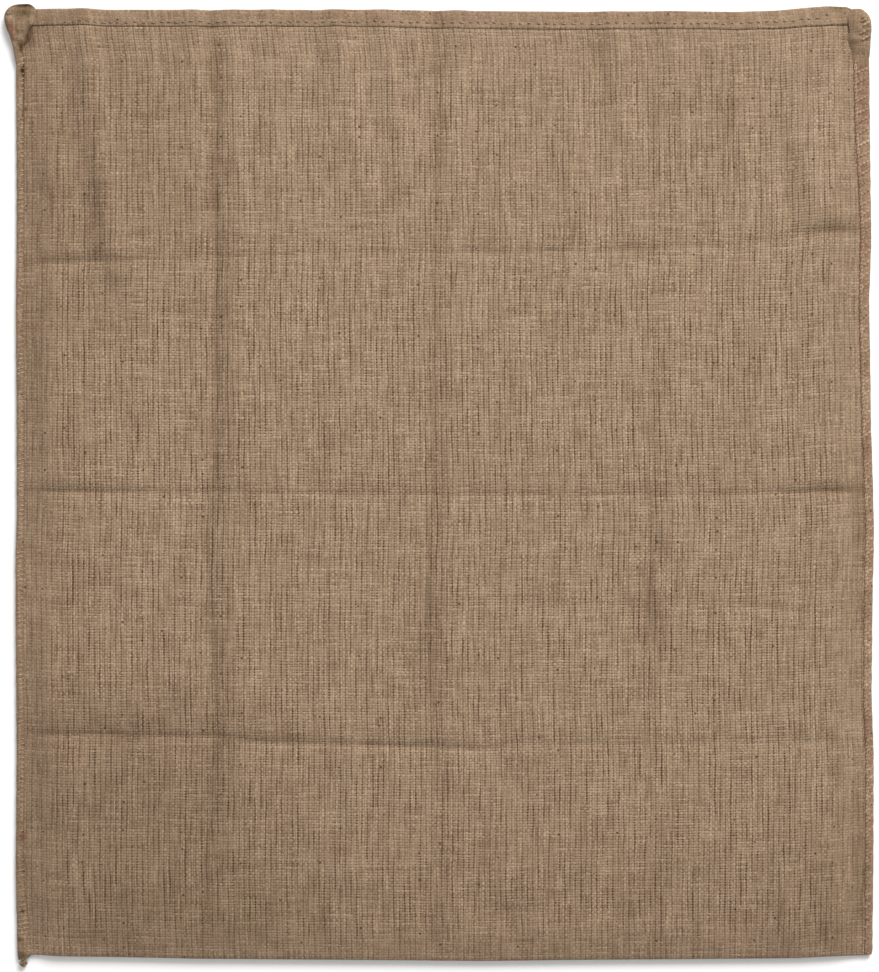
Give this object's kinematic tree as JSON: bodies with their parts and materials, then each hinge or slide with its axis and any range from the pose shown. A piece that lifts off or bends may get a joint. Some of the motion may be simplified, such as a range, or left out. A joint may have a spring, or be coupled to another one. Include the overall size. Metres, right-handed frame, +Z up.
{
  "type": "jute sack",
  "caption": "Empty hessian sack laid flat, with a turned mouth hem, overcast side seams, lashed mouth corners and a knotted end of twine.",
  "frame": {"origin": "centre of the sack's box, on the surface that it lies on", "axes": "+Z up out of the upper ply, +Y towards the mouth, +X to the right as seen from above with the mouth away from the viewer"},
  "size_m": [0.9622, 1.0675, 0.0178],
  "materials": {
    "hessian": "plain-woven retted jute, matt and hairy",
    "jute_twine": "spun jute twine, matt and hairy"
  },
  "bodies": {
    "root": {"sack_cloth": "hessian", "seam_left": "jute_twine", "seam_right": "jute_twine", "lashing_left": "jute_twine", "lashing_right": "jute_twine", "twine_knot": "jute_twine"}
  },
  "joints": []
}
